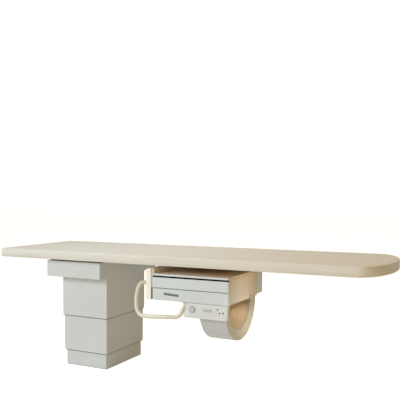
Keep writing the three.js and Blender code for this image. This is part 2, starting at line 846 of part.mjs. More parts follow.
function carriageShoe() {
  const halfIn = shoeHalf - bridge.shoeCheek;
  const highIn = bridge.railHeight + 2 * glide;
  const outer = roundedRectangle(-shoeHalf, shoeHalf, -bridge.shoeWall, highIn + bridge.shoeWall, 3);
  outer.holes.push(polygon([[-halfIn, 0], [-halfIn, highIn], [halfIn, highIn], [halfIn, 0]]));
  const half = bridge.shoeLength / 2;
  return extrudeX(outer, -half, half, 0, 2);
}

function cableGland() {
  const { radius, nutHeight, domeLength, boreRadius } = gland;
  const end = nutHeight + domeLength;
  const shoulder = nutHeight + domeLength / 2;
  const boreFloor = nutHeight + domeLength / 3;
  const nut = cylinder(gland.nutRadius, 0, nutHeight, 6);
  const dome = revolve([
    [0, 1], [radius, 1], [radius, shoulder], [boreRadius + 2, end], [boreRadius, end],
    [boreRadius, boreFloor], [0, boreFloor],
  ], actuator.sides);
  return join(nut, dome).rotateX(-Math.PI / 2);
}

function buildBucky() {
  const unit = new THREE.Group();
  unit.position.set(bucky.centreX, -bucky.front, buckyBottom);
  piece(unit, 'bucky_housing', buckyHousing(), 'steel');
  piece(unit, 'side_cover_left', handleCover(), 'moulding');
  const sideShape = roundedRectangle(housingFront, bucky.depth, 0, topCoverBottom - seat, 4);
  const round = bucky.edgeRound;
  const rightCover = extrudeX(sideShape, coverInner, coverInner + bucky.sideCover, round);
  piece(unit, 'side_cover_right', rightCover, 'beige');

  const lidShape = roundedRectangle(-unitHalf, unitHalf, 0, bucky.depth, 8);
  const lid = extrudeZ(lidShape, topCoverBottom, bucky.height, round);
  const pocketFloor = bucky.height - bucky.windowPocket;
  const pocket = extrudeZ(windowOutline(0), pocketFloor, bucky.height + 1);
  piece(unit, 'bucky_top_cover', cut(lid, pocket), 'moulding');
  const glass = extrudeZ(windowOutline(seat), pocketFloor + seat, pocketFloor + seat + bucky.windowThickness);
  piece(unit, 'radiolucent_window', glass, 'brown');
  const frontShape = roundedRectangle(-unitHalf, unitHalf, upperFrontBottom, upperFrontTop, 4);
  piece(unit, 'upper_front_panel', extrudeY(frontShape, 0, bucky.frontPanel, round), 'moulding');

  const gridHalf = housingHalf - bucky.wall - seat;
  const gridTop = topCoverBottom - bucky.gridDrop;
  const gridFront = housingFront + bucky.gridInset;
  const gridBack = bucky.depth - bucky.wall - bucky.gridInset;
  const grid = block(-gridHalf, gridHalf, gridFront, gridBack, gridTop - bucky.gridThickness, gridTop);
  piece(unit, 'anti_scatter_grid', grid, 'aluminium');

  piece(unit, 'control_panel', controlPanel(), 'moulding');
  piece(unit, 'cable_guard', cableGuard(), 'grey', [0, guard.axisY, -seat - guard.drop]);
  piece(unit, 'wrap_handle', wrapHandle(), 'cream');
  piece(unit, 'rear_carriage', rearCarriage(), 'enamel');
  [['front', bridge.frontY], ['rear', bridge.rearY]].forEach(([side, y]) => {
    const place = [0, bucky.front + y, bucky.height + seat + bridge.shoeWall];
    piece(unit, `carriage_shoe_${side}`, carriageShoe(), 'dark', place);
  });
  const glandPlace = [gland.across, carriageBack + seat, gland.above];
  piece(unit, 'cable_gland', cableGland(), 'grey', glandPlace);

  piece(unit, 'release_button', pressButton(), 'keycap', [panel.pressX, 0, panel.rowZ]);
  keyPlaces().forEach((x, i) => {
    piece(unit, `panel_key_${i + 1}`, keyCap(), 'keycap', [x, 0, panel.rowZ]);
  });
  unit.add(buildTray());
  return unit;
}

// Tray: front with a finger grip, pan on two runners, and the jaws that centre the cassette

function trayFront() {
  const bottom = bucky.trayClearance;
  const face = roundedRectangle(-unitHalf, unitHalf, bottom, trayFrontTop, 4);
  const front = extrudeY(face, 0, bucky.frontPanel, bucky.edgeRound);
  const half = tray.gripLength / 2;
  const rise = tray.gripHeight / 2;
  const grip = roundedOutline([
    [-half, -rise + tray.gripSlant], [half, -rise - tray.gripSlant],
    [half, rise - tray.gripSlant], [-half, rise + tray.gripSlant],
  ], 4);
  return cut(front, extrudeY(grip, -1, tray.gripDepth).translate(tray.gripX, 0, tray.gripZ));
}

function buildTray() {
  const drawer = new THREE.Group();
  piece(drawer, 'tray_front', trayFront(), 'moulding');
  const half = housingHalf - bucky.wall - tray.sideGap;
  const back = bucky.depth - tray.backGap;
  const panBottom = runnerTop + seat;
  const floorTop = panBottom + tray.floor;
  const box = block(-half, half, housingFront, back, panBottom, panBottom + tray.wallHeight);
  const wall = bucky.wall;
  const space = block(-half + wall, half - wall, housingFront + wall, back - wall, floorTop, bucky.height);
  piece(drawer, 'cassette_tray', cut(box, space), 'aluminium');

  const jawHalf = half - wall - glide;
  const jawZ = floorTop + seat;
  const frontY = housingFront + wall + tray.jawInset;
  const backY = back - wall - tray.jawInset - tray.jawThickness;
  [['front', frontY], ['rear', backY]].forEach(([side, y]) => {
    const bar = roundedRectangle(y, y + tray.jawThickness, jawZ, jawZ + tray.jawHeight, 2);
    piece(drawer, `clamp_jaw_${side}`, extrudeX(bar, -jawHalf, jawHalf, 0, 2), 'dark');
  });
  return drawer;
}

const radiographyTable = new THREE.Group();
radiographyTable.add(buildBase(), buildMiddle(), buildHead(), buildTop(), buildBucky());

export default radiographyTable;
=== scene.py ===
import json
import math

import bmesh
import bpy
import numpy as np
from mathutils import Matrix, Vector


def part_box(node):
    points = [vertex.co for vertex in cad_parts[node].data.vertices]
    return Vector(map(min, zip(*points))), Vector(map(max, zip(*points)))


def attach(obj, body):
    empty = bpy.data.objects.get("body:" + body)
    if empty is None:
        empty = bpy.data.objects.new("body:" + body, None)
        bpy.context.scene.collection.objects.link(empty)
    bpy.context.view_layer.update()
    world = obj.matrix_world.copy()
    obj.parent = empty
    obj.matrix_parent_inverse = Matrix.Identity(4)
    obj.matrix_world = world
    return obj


# Radiography table: finishes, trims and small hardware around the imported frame, in metres.
# Sizes in the dictionaries are millimetres unless a note says otherwise, and smooth is an angle in degrees.

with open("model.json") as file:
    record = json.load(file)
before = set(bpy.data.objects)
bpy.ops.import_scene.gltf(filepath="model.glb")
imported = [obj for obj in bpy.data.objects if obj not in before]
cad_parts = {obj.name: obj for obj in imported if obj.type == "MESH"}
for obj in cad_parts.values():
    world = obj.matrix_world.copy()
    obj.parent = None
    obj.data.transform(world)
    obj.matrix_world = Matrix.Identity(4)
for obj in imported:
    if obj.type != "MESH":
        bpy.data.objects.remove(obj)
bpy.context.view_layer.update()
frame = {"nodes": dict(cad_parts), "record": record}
nodes = frame["nodes"]
mm = 0.001
weld = 1e-6   # points nearer than this are one point
print("frame loaded:", len(nodes), "nodes")

# camera

viewPoint = {
    "place": (2.2928, -3.1839, 1.0649),   # metres
    "turnLeft": 26.635,   # degrees from straight ahead (+Y)
    "dip": 0.825,         # degrees below the horizon
    "lens": 53.394,
    "sensor": 36.0,
    "shiftUp": 0.0117,    # the picture's own framing
    "reach": 100.0,       # metres
}


def makeCamera(v):
    turn, dip = math.radians(v["turnLeft"]), math.radians(v["dip"])
    ahead = Vector((-math.sin(turn) * math.cos(dip), math.cos(turn) * math.cos(dip), -math.sin(dip)))
    data = bpy.data.cameras.new("photoCamera")
    data.lens = v["lens"]
    data.sensor_width = v["sensor"]
    data.shift_y = v["shiftUp"]
    data.clip_end = v["reach"]
    data.dof.use_dof = False
    camera = bpy.data.objects.new("photoCamera", data)
    camera.location = v["place"]
    camera.rotation_mode = "QUATERNION"
    camera.rotation_quaternion = ahead.to_track_quat("-Z", "Y")
    bpy.context.scene.collection.objects.link(camera)
    bpy.context.scene.camera = camera


makeCamera(viewPoint)
print("camera placed")

# nodes and colours


def linear(code):
    # sRGB hex to linear RGBA
    srgb = np.array([int(code[i:i + 2], 16) / 255 for i in (0, 2, 4)])
    low = srgb / 12.92
    high = ((srgb + 0.055) / 1.055) ** 2.4
    return tuple(np.where(srgb <= 0.04045, low, high)) + (1.0,)


def addNode(tree, kind, settings=None, links=None):
    # settings go to the node's own fields or its sockets, links maps a socket to what feeds it
    node = tree.nodes.new(kind)
    for key, value in (settings or {}).items():
        if isinstance(key, str) and hasattr(node, key):
            setattr(node, key, value)
        else:
            node.inputs[key].default_value = value
    for key, source in (links or {}).items():
        tree.links.new(source, node.inputs[key])
    return node


def startMaterial(name):
    material = bpy.data.materials.new(name)
    material.use_nodes = True
    tree = material.node_tree
    tree.nodes.clear()
    shader = addNode(tree, "ShaderNodeBsdfPrincipled")
    addNode(tree, "ShaderNodeOutputMaterial", links={"Surface": shader.outputs["BSDF"]})
    place = addNode(tree, "ShaderNodeTexCoord").outputs["Object"]
    return material, tree, shader, place


def wireUp(tree, shader, base, rough, bump):
    # colour, roughness and relief into the shader
    tree.links.new(base.outputs[2], shader.inputs["Base Color"])
    tree.links.new(rough.outputs["Result"], shader.inputs["Roughness"])
    tree.links.new(bump.outputs["Normal"], shader.inputs["Normal"])


def perMetre(size):
    # the scale of a pattern from its real size
    return 1000.0 / size


# Each painted or moulded finish is a base colour drifting between two tones, a roughness that varies,
# and a bump.

finishes = {
    # powder-coated sheet steel, sprayed and baked: soft sheen, faint orange peel
    "enamel": {"light": "d5d8d5", "deep": "cbceca", "drift": 260, "rough": (0.36, 0.5), "grain": 7,
               "grainDepth": 0.25, "coat": 0.15, "speck": "b9b6ab", "speckShare": 0.1},
    # injection-moulded ABS with a spark-eroded texture: even, slightly cool and matt
    "moulding": {"light": "d8e0e1", "deep": "d0d8d9", "drift": 140, "rough": (0.42, 0.55), "grain": 4,
                 "grainDepth": 0.2, "coat": 0.0, "speck": "c3c5c2", "speckShare": 0.08},
    # beige ABS side cover, tan towards its upper back edge as painted shade and warm reflection from the
    # top above: paler towards the foot of its front
    "beige": {"light": "d8bf8e", "deep": "ccb07a", "drift": 120, "rough": (0.42, 0.55), "grain": 4,
              "grainDepth": 0.2, "coat": 0.0, "speck": "cfae7c", "speckShare": 0.12,
              "pale": "dcdbd2", "paleFrom": 0.64, "paleTo": 0.40, "paleLean": 0.3},   # levels in metres
    # plastisol-dipped tube: thick smooth skin with a wet sheen
    "cream": {"light": "dcdac6", "deep": "d3cfb8", "drift": 60, "rough": (0.28, 0.38), "grain": 9,
              "grainDepth": 0.12, "coat": 0.25, "speck": "d2caa6", "speckShare": 0.06},
    # glass-fibre moulding in grey gel coat
    "grey": {"light": "cdd1d4", "deep": "c2c5c7", "drift": 150, "rough": (0.4, 0.55), "grain": 6,
             "grainDepth": 0.2, "coat": 0.1, "speck": "a39c8e", "speckShare": 0.12},
    # ivory ABS of the handle's cover: brighter and warmer than the fronts
    "ivory": {"light": "fcf9ec", "deep": "f5f1e0", "drift": 110, "rough": (0.4, 0.52), "grain": 4,
              "grainDepth": 0.2, "coat": 0.0, "speck": "d9d2ba", "speckShare": 0.08},
    # polyester film over the control panel: even, with a fine satin tooth; paler than the fronts as painted
    # light, for a face that tips a little upwards
    "membrane": {"light": "e0e6e5", "deep": "d8dedc", "drift": 80, "rough": (0.38, 0.48), "grain": 3,
                 "grainDepth": 0.12, "coat": 0.0, "speck": "c9ccca", "speckShare": 0.06},
    # soft-touch silicone keycap
    "keycap": {"light": "ccd1d3", "deep": "c2c7c9", "drift": 20, "rough": (0.5, 0.62), "grain": 2,
               "grainDepth": 0.1, "coat": 0.0, "speck": "8f9699", "speckShare": 0.05},
    # black nylon: dull, faintly mottled
    "dark": {"light": "35363a", "deep": "2a2b2e", "drift": 40, "rough": (0.5, 0.7), "grain": 3,
             "grainDepth": 0.2, "coat": 0.0, "speck": "45464a", "speckShare": 0.1},
}
# what those finishes share; a speck is speckSize times the grain, and both are coarser than real ones
# so that they show
paintSkin = {"speckSize": 2.5, "speckFrom": 0.62, "speckFull": 0.8, "speckGain": 4,
             "relief": 0.4, "ior": 1.5, "coatRough": 0.25}


def paintedFinish(name, f):
    material, tree, shader, place = startMaterial(name)
    drift = addNode(tree, "ShaderNodeTexNoise", {"Scale": perMetre(f["drift"]), "Detail": 3.0},
                    {"Vector": place})
    tone = addNode(tree, "ShaderNodeMix",
                   {"data_type": "RGBA", 6: linear(f["deep"]), 7: linear(f["light"])},
                   {0: drift.outputs["Fac"]})
    if "pale" in f:
        # painted shade and warm reflection give way to the pale foot: by height, and by paleLean times the
        # depth
        spot = addNode(tree, "ShaderNodeSeparateXYZ", None, {"Vector": place})
        level = addNode(tree, "ShaderNodeMath", {"operation": "MULTIPLY_ADD", 1: f["paleLean"]},
                        {0: spot.outputs["Y"], 2: spot.outputs["Z"]})
        fade = addNode(tree, "ShaderNodeMapRange", {"From Min": f["paleFrom"], "From Max": f["paleTo"]},
                       {"Value": level.outputs["Value"]})
        tone = addNode(tree, "ShaderNodeMix", {"data_type": "RGBA", 7: linear(f["pale"])},
                       {0: fade.outputs["Result"], 6: tone.outputs[2]})
    speck = addNode(tree, "ShaderNodeTexNoise",
                    {"Scale": perMetre(f["grain"] * paintSkin["speckSize"]), "Detail": 4.0},
                    {"Vector": place})
    share = addNode(tree, "ShaderNodeMapRange",
                    {"From Min": paintSkin["speckFrom"], "From Max": paintSkin["speckFull"],
                     "To Max": f["speckShare"] * paintSkin["speckGain"]},
                    {"Value": speck.outputs["Fac"]})
    base = addNode(tree, "ShaderNodeMix", {"data_type": "RGBA", 7: linear(f["speck"])},
                   {0: share.outputs["Result"], 6: tone.outputs[2]})
    rough = addNode(tree, "ShaderNodeMapRange", {"To Min": f["rough"][0], "To Max": f["rough"][1]},
                    {"Value": drift.outputs["Fac"]})
    grain = addNode(tree, "ShaderNodeTexNoise", {"Scale": perMetre(f["grain"]), "Detail": 2.0},
                    {"Vector": place})
    bump = addNode(tree, "ShaderNodeBump",
                   {"Strength": f["grainDepth"], "Distance": paintSkin["relief"] * mm},
                   {"Height": grain.outputs["Fac"]})
    shader.inputs["IOR"].default_value = paintSkin["ior"]
    shader.inputs["Coat Weight"].default_value = f["coat"]
    shader.inputs["Coat Roughness"].default_value = paintSkin["coatRough"]
    wireUp(tree, shader, base, rough, bump)
    return material


laminateTop = {
    "light": "e5e2d8", "deep": "dad6ca", "streak": "c3b89f",
    "streakLength": 700, "streakWidth": 30,   # coarser than the real print so that it shows
    "streakFrom": 0.55, "streakFull": 0.8, "streakShare": 0.55,
    "pebble": 5, "pebbleDepth": 0.08, "relief": 0.3, "rough": (0.55, 0.68), "ior": 1.5,
}


# High-pressure laminate: cream sheet with a faint print running lengthways and a pebbled press finish.
def laminateFinish(f):
    material, tree, shader, place = startMaterial("creamLaminate")
    length, width = perMetre(f["streakLength"]), perMetre(f["streakWidth"])
    along = addNode(tree, "ShaderNodeMapping", {"Scale": (length, width, width)}, {"Vector": place})
    streak = addNode(tree, "ShaderNodeTexNoise", {"Scale": 1.0, "Detail": 5.0, "Roughness": 0.6},
                     {"Vector": along.outputs["Vector"]})
    tone = addNode(tree, "ShaderNodeMix",
                   {"data_type": "RGBA", 6: linear(f["deep"]), 7: linear(f["light"])},
                   {0: streak.outputs["Fac"]})
    share = addNode(tree, "ShaderNodeMapRange",
                    {"From Min": f["streakFrom"], "From Max": f["streakFull"], "To Max": f["streakShare"]},
                    {"Value": streak.outputs["Fac"]})
    base = addNode(tree, "ShaderNodeMix", {"data_type": "RGBA", 7: linear(f["streak"])},
                   {0: share.outputs["Result"], 6: tone.outputs[2]})
    pebble = addNode(tree, "ShaderNodeTexVoronoi", {"Scale": perMetre(f["pebble"])}, {"Vector": place})
    bump = addNode(tree, "ShaderNodeBump", {"Strength": f["pebbleDepth"], "Distance": f["relief"] * mm},
                   {"Height": pebble.outputs["Distance"]})
    rough = addNode(tree, "ShaderNodeMapRange", {"To Min": f["rough"][0], "To Max": f["rough"][1]},
                    {"Value": streak.outputs["Fac"]})
    shader.inputs["IOR"].default_value = f["ior"]
    wireUp(tree, shader, base, rough, bump)
    return material


phenolicWindow = {
    # painted light: both tones paler and warmer than the bare sheet
    "light": "f8dcbe", "deep": "e2c2a2",
    "fibre": 3, "fibreLength": 60,   # coarser than real fibres so that they show
    "fibreShare": 0.5, "fibreDepth": 0.1,
    "cloud": 110, "cloudFrom": 0.45, "cloudFull": 1.05,
    "relief": 0.2, "rough": (0.42, 0.55), "ior": 1.55,
}


# Paper-based phenolic sheet: brown, satin, with the paper's fibres just showing. Its pale warm tones are
# painted light: the top's warm reflection, lifted against the top's shadow.
def phenolicFinish(f):
    material, tree, shader, place = startMaterial("brownPhenolic")
    length, width = perMetre(f["fibreLength"]), perMetre(f["fibre"])
    along = addNode(tree, "ShaderNodeMapping", {"Scale": (length, width, width)}, {"Vector": place})
    fibre = addNode(tree, "ShaderNodeTexNoise", {"Scale": 1.0, "Detail": 6.0},
                    {"Vector": along.outputs["Vector"]})
    cloud = addNode(tree, "ShaderNodeTexNoise", {"Scale": perMetre(f["cloud"]), "Detail": 2.0},
                    {"Vector": place})
    blend = addNode(tree, "ShaderNodeMath", {"operation": "MULTIPLY_ADD", 1: f["fibreShare"]},
                    {0: fibre.outputs["Fac"], 2: cloud.outputs["Fac"]})
    share = addNode(tree, "ShaderNodeMapRange", {"From Min": f["cloudFrom"], "From Max": f["cloudFull"]},
                    {"Value": blend.outputs["Value"]})
    base = addNode(tree, "ShaderNodeMix",
                   {"data_type": "RGBA", 6: linear(f["deep"]), 7: linear(f["light"])},
                   {0: share.outputs["Result"]})
    bump = addNode(tree, "ShaderNodeBump", {"Strength": f["fibreDepth"], "Distance": f["relief"] * mm},
                   {"Height": fibre.outputs["Fac"]})
    rough = addNode(tree, "ShaderNodeMapRange", {"To Min": f["rough"][0], "To Max": f["rough"][1]},
                    {"Value": cloud.outputs["Fac"]})
    shader.inputs["IOR"].default_value = f["ior"]
    wireUp(tree, shader, base, rough, bump)
    return material


metals = {
    # ground steel under bright zinc: fine lines along the bar
    "steel": {"light": "b9bcc0", "deep": "9b9ea3", "lineLength": 160, "line": 2.5, "rough": (0.28, 0.42)},
    # milled aluminium: paler, softer lines
    "aluminium": {"light": "cfd1d3", "deep": "b9bbbe", "lineLength": 90, "line": 3, "rough": (0.32, 0.46)},
    # blackened iron of the brake magnets
    "magnet": {"light": "5d6065", "deep": "484b50", "lineLength": 30, "line": 8, "rough": (0.45, 0.6)},
}
metalLine = {"depth": 0.08, "relief": 0.1}


# Bare metal whose tool lines carry its tone, its gloss and a slight relief, drawn coarser than real ones
# so that they show.
def metalFinish(name, f):
    material, tree, shader, place = startMaterial(name)
    length, width = perMetre(f["lineLength"]), perMetre(f["line"])
    along = addNode(tree, "ShaderNodeMapping", {"Scale": (length, width, width)}, {"Vector": place})
    line = addNode(tree, "ShaderNodeTexNoise", {"Scale": 1.0, "Detail": 4.0},
                   {"Vector": along.outputs["Vector"]})
    base = addNode(tree, "ShaderNodeMix",
                   {"data_type": "RGBA", 6: linear(f["deep"]), 7: linear(f["light"])},
                   {0: line.outputs["Fac"]})
    rough = addNode(tree, "ShaderNodeMapRange", {"To Min": f["rough"][0], "To Max": f["rough"][1]},
                    {"Value": line.outputs["Fac"]})
    bump = addNode(tree, "ShaderNodeBump",
                   {"Strength": metalLine["depth"], "Distance": metalLine["relief"] * mm},
                   {"Height": line.outputs["Fac"]})
    shader.inputs["Metallic"].default_value = 1.0
    wireUp(tree, shader, base, rough, bump)
    return material


trimSkin = {"rough": 0.8, "relief": 0.4, "ior": 1.5}


# Felt, rubber, foam, pressed fibre, vinyl, ink and small plastic trims: matt, fibrous or pitted.
# The pits are drawn coarser than real ones so that they show.
def trimFinish(name, light, deep, pit, depth, shine=0.5):
    material, tree, shader, place = startMaterial(name)
    pits = addNode(tree, "ShaderNodeTexNoise", {"Scale": perMetre(pit), "Detail": 6.0}, {"Vector": place})
    base = addNode(tree, "ShaderNodeMix", {"data_type": "RGBA", 6: linear(deep), 7: linear(light)},
                   {0: pits.outputs["Fac"]})
    bump = addNode(tree, "ShaderNodeBump", {"Strength": depth, "Distance": trimSkin["relief"] * mm},
                   {"Height": pits.outputs["Fac"]})
    shader.inputs["Roughness"].default_value = trimSkin["rough"]
    shader.inputs["Specular IOR Level"].default_value = shine
    shader.inputs["IOR"].default_value = trimSkin["ior"]
    tree.links.new(base.outputs[2], shader.inputs["Base Color"])
    tree.links.new(bump.outputs["Normal"], shader.inputs["Normal"])
    return material


lensGloss = {"swirl": 4, "rough": 0.12, "ior": 1.58}


# Tinted polycarbonate lens over an unlit lamp: glossy, with a faint swirl from moulding.
def lensFinish(name, light, deep):
    material, tree, shader, place = startMaterial(name)
    swirl = addNode(tree, "ShaderNodeTexNoise", {"Scale": perMetre(lensGloss["swirl"]), "Detail": 2.0},
                    {"Vector": place})
    base = addNode(tree, "ShaderNodeMix", {"data_type": "RGBA", 6: linear(light), 7: linear(deep)},
                   {0: swirl.outputs["Fac"]})
    shader.inputs["Roughness"].default_value = lensGloss["rough"]
    shader.inputs["IOR"].default_value = lensGloss["ior"]
    tree.links.new(base.outputs[2], shader.inputs["Base Color"])
    return material


materials = {name: paintedFinish(name, f) for name, f in finishes.items()}
materials.update({name: metalFinish(name, f) for name, f in metals.items()})
materials["laminate"] = laminateFinish(laminateTop)
materials["brown"] = phenolicFinish(phenolicWindow)
feltAndShadeBlack = trimFinish("wiperFeltAndShade", "3a3833", "26241f", 4, 0.5)   # needled wool felt: hairy, no gloss; its strip under a cover is also painted shadow
rubberBlack = trimFinish("sealRubber", "302f2e", "222120", 3, 0.2)   # extruded rubber: dull, faintly pitted
slotShadeBlack = trimFinish("slotShadeStrip", "141311", "0b0a09", 3, 0.4, 0.05)   # near-black and matt: painted shade in the slot under the top cover
ringGrey = trimFinish("ringPlastic", "a6abad", "989d9f", 4, 0.15)   # moulded nylon: matt, softly grained
markGrey = trimFinish("markInk", "7d8386", "70767a", 2, 0.05)   # screen-printed ink: flat and even
gripShadeGrey = trimFinish("gripShadeLiner", "8b9093", "787d80", 5, 0.15)   # softly grained grey: painted shade in the tray's finger grip
cornerShadeGrey = trimFinish("cornerShadeStrip", "77736b", "65615a", 3, 0.2)   # dull grey strip: painted shade down the slot beside the front panels
guardBounceTan = trimFinish("guardBounceLiner", "f1e0bf", "e6cfa4", 6, 0.3)   # tan and mottled: painted warm bounce light inside the cable guard
lipCream = trimFinish("lipVinyl", "d8d6cb", "ccc9bc", 5, 0.15)   # moulded soft vinyl: cream and matt
lensTints = [
    lensFinish("amberLens", "8a7a62", "564a3a"),
    lensFinish("greenLens", "6b7a6c", "414d42"),
    lensFinish("redLens", "86706f", "554342"),
]

ownFinish = {"side_cover_left": "ivory", "control_panel": "membrane"}   # lighter than their slot's finish: the left cover by its own colour, the panel as painted light
for part in frame["record"]["subparts"]:
    mesh = nodes[part["node"]].data
    mesh.materials.clear()
    mesh.materials.append(materials[ownFinish.get(part["node"], part["material_slot"])])

# mesh building


def gridFaces(rows, cols, closeRows, closeCols):
    # quads of a rows by cols grid of points, wrapped round where a direction is closed
    r = np.arange(rows if closeRows else rows - 1)[:, None]
    c = np.arange(cols if closeCols else cols - 1)[None, :]
    r2, c2 = (r + 1) % rows, (c + 1) % cols
    quads = np.stack([r * cols + c, r * cols + c2, r2 * cols + c2, r2 * cols + c], -1)
    return quads.reshape(-1, 4).tolist()


def cappedFaces(rows, cols):
    # a tube of rows closed outlines, with its first and last outline filled
    last = (rows - 1) * cols
    return gridFaces(rows, cols, False, True) + [list(range(cols)), list(range(last, last + cols))]


def makePiece(name, points, faces, material, body, smoothAngle=35.0):
    # doubles merged, faces turned outwards, and edges sharper than smoothAngle kept sharp
    mesh = bpy.data.meshes.new(name)
    mesh.from_pydata(np.asarray(points).reshape(-1, 3).tolist(), [], faces)
    work = bmesh.new()
    work.from_mesh(mesh)
    bmesh.ops.remove_doubles(work, verts=work.verts, dist=weld)
    bmesh.ops.recalc_face_normals(work, faces=work.faces)
    limit = math.radians(smoothAngle)
    for face in work.faces:
        face.smooth = True
    for edge in work.edges:
        edge.smooth = len(edge.link_faces) == 2 and edge.calc_face_angle(0.0) < limit
    work.to_mesh(mesh)
    work.free()
    mesh.materials.append(material)
    piece = bpy.data.objects.new(name, mesh)
    bpy.context.scene.collection.objects.link(piece)
    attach(piece, body)
    return piece


def thicken(piece, thickness, offset):
    # a sheet gets its thickness: inwards of its faces at offset -1, half to each side at 0
    wall = piece.modifiers.new("wall", "SOLIDIFY")
    wall.thickness = thickness
    wall.offset = offset


def roundedPath(low, high, radius, steps=6):
    # rounded rectangle walked anticlockwise: corner centre + radius * (cos, sin), with its outward normals
    low, high = np.asarray(low, float), np.asarray(high, float)
    centre, half = (low + high) / 2, (high - low) / 2
    signs = np.array([[1, 1], [-1, 1], [-1, -1], [1, -1]])
    angle = np.arange(4)[:, None] * np.pi / 2 + np.linspace(0, np.pi / 2, steps + 1)[None, :]
    normal = np.stack([np.cos(angle), np.sin(angle)], -1)
    points = (centre + signs * (half - radius))[:, None, :] + radius * normal
    return points.reshape(-1, 2), normal.reshape(-1, 2)


def carryRound(path, normal, profile):
    # a closed profile of (outward, height) carried along a closed plan path
    out, up = profile[:, 0], profile[:, 1]
    plan = path[:, None, :] + out[None, :, None] * normal[:, None, :]
    height = np.broadcast_to(up[None, :, None], plan.shape[:2] + (1,))
    points = np.concatenate([plan, height], -1)
    return points, gridFaces(len(path), len(profile), True, True)


def carryStraight(outline, start, end, axis):
    # a closed outline in the plane across an axis, carried from start to end, with both ends closed
    count = len(outline)
    others = [i for i in range(3) if i != axis]
    points = np.zeros((2, count, 3))
    points[:, :, others] = outline[None, :, :]
    points[0, :, axis] = start
    points[1, :, axis] = end
    return points, cappedFaces(2, count)


def turned(profile, steps, places, axis):
    # a profile of (radius, height) turned about an axis, repeated at each place
    angle = np.linspace(0, 2 * np.pi, steps, endpoint=False)
    radius, height = profile[:, 0][:, None], profile[:, 1][:, None]
    ring = np.stack([radius * np.cos(angle), radius * np.sin(angle), height + 0 * angle], -1)
    across, along, up = (np.array(a) for a in axis)
    solid = ring[..., 0:1] * across + ring[..., 1:2] * along + ring[..., 2:3] * up
    one = np.array(gridFaces(len(profile), steps, False, True))
    count = len(profile) * steps
    points = np.concatenate([solid.reshape(-1, 3) + np.array(p) for p in places])
    faces = np.concatenate([one + i * count for i in range(len(places))])
    return points, faces.tolist()


facingFront = ((1, 0, 0), (0, 0, 1), (0, -1, 0))
facingBack = ((-1, 0, 0), (0, 0, 1), (0, 1, 0))

# seals of the telescopic covers

coverSheet = {"corner": 5, "wall": 3}
# the hang shows as a dark line of painted shadow under the cover
wiper = {"height": 12, "hang": 4.5,   # hang: how far it shows under the cover
         "lip": 0.7, "lipLow": 2, "lipHigh": 3.5, "chamfer": 0.6, "clear": 0.1}
floorSeal = {"height": 1.9, "proud": 0.6, "inside": 2.6, "taper": 0.6}   # taper: share of proud at its top


# A felt lip under each upper cover closes the gap to the cover inside it; the strip it shows below the
# cover is painted shadow.
def makeWiper(name, outerNode, innerNode, body):
    outerLow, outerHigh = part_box(outerNode)
    innerLow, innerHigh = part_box(innerNode)
    gap = (outerHigh.x - innerHigh.x) - coverSheet["wall"] * mm
    path, normal = roundedPath(innerLow[:2], innerHigh[:2], coverSheet["corner"] * mm)
    low = outerLow.z - wiper["hang"] * mm
    high = low + wiper["height"] * mm
    lip, back = wiper["lip"] * mm, gap - wiper["clear"] * mm
    profile = np.array([[lip, low + wiper["lipLow"] * mm], [gap / 2, low],
                        [back, low + wiper["chamfer"] * mm], [back, high],
                        [gap / 2, high], [lip, low + wiper["lipHigh"] * mm]])
    points, faces = carryRound(path, normal, profile)
    makePiece(name, points, faces, feltAndShadeBlack, body)


makeWiper("upper_wiper", "upper_cover", "middle_cover", "head")
makeWiper("middle_wiper", "middle_cover", "base_cover", "middle")

baseLow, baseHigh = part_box("base_cover")
path, normal = roundedPath(baseLow[:2], baseHigh[:2], coverSheet["corner"] * mm)
sealTop, sealOut, sealIn = floorSeal["height"] * mm, floorSeal["proud"] * mm, -floorSeal["inside"] * mm
profile = np.array([[sealIn, 0.0], [sealOut, 0.0],
                    [sealOut * floorSeal["taper"], sealTop], [sealIn, sealTop]])
points, faces = carryRound(path, normal, profile)
makePiece("floor_seal", points, faces, rubberBlack, "base")
print("seals made")

# edge band of the top

edgeBand = {"noseDepth": 150, "cornerRadius": 10, "margin": 7.5, "proud": 0.7, "sunk": 0.4, "chamfer": 0.8,
            "noseSteps": 120, "cornerSteps": 9}


def topPath(low, high, f):
    # half ellipse at the rounded end, then two corner arcs: points and outward normals
    half, depth, radius = (high.y - low.y) / 2, f["noseDepth"] * mm, f["cornerRadius"] * mm
    t = np.linspace(-np.pi / 2, np.pi / 2, f["noseSteps"] + 1)
    nose = np.stack([high.x - depth + depth * np.cos(t), half * np.sin(t)], -1)
    noseOut = np.stack([np.cos(t) / depth, np.sin(t) / half], -1)
    noseOut /= np.linalg.norm(noseOut, axis=-1, keepdims=True)
    corner = np.linspace(np.pi / 2, np.pi, f["cornerSteps"])
    arcs = np.concatenate([corner, corner + np.pi / 2])
    arcOut = np.stack([np.cos(arcs), np.sin(arcs)], -1)
    ends = [[low.x + radius, half - radius], [low.x + radius, radius - half]]
    centres = np.repeat(ends, f["cornerSteps"], axis=0)
    return np.concatenate([nose, centres + radius * arcOut]), np.concatenate([noseOut, arcOut])


topLow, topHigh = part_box("tabletop_panel")
path, normal = topPath(topLow, topHigh, edgeBand)
bandLow, bandHigh = topLow.z + edgeBand["margin"] * mm, topHigh.z - edgeBand["margin"] * mm
proud, sunk, chamfer = (edgeBand[k] * mm for k in ("proud", "sunk", "chamfer"))
profile = np.array([[-sunk, bandLow], [proud / 2, bandLow], [proud, bandLow + chamfer],
                    [proud, bandHigh - chamfer], [proud / 2, bandHigh], [-sunk, bandHigh]])
points, faces = carryRound(path, normal, profile)
makePiece("top_edge_band", points, faces, materials["laminate"], "top")
print("edge band made")

# trims of the Bucky unit

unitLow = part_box("bucky_housing")[0]
frontLow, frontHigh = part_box("upper_front_panel")
lidLow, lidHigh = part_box("bucky_top_cover")
trayLow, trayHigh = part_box("tray_front")
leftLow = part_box("side_cover_left")[0]
unitMiddle = (frontLow.x + frontHigh.x) / 2
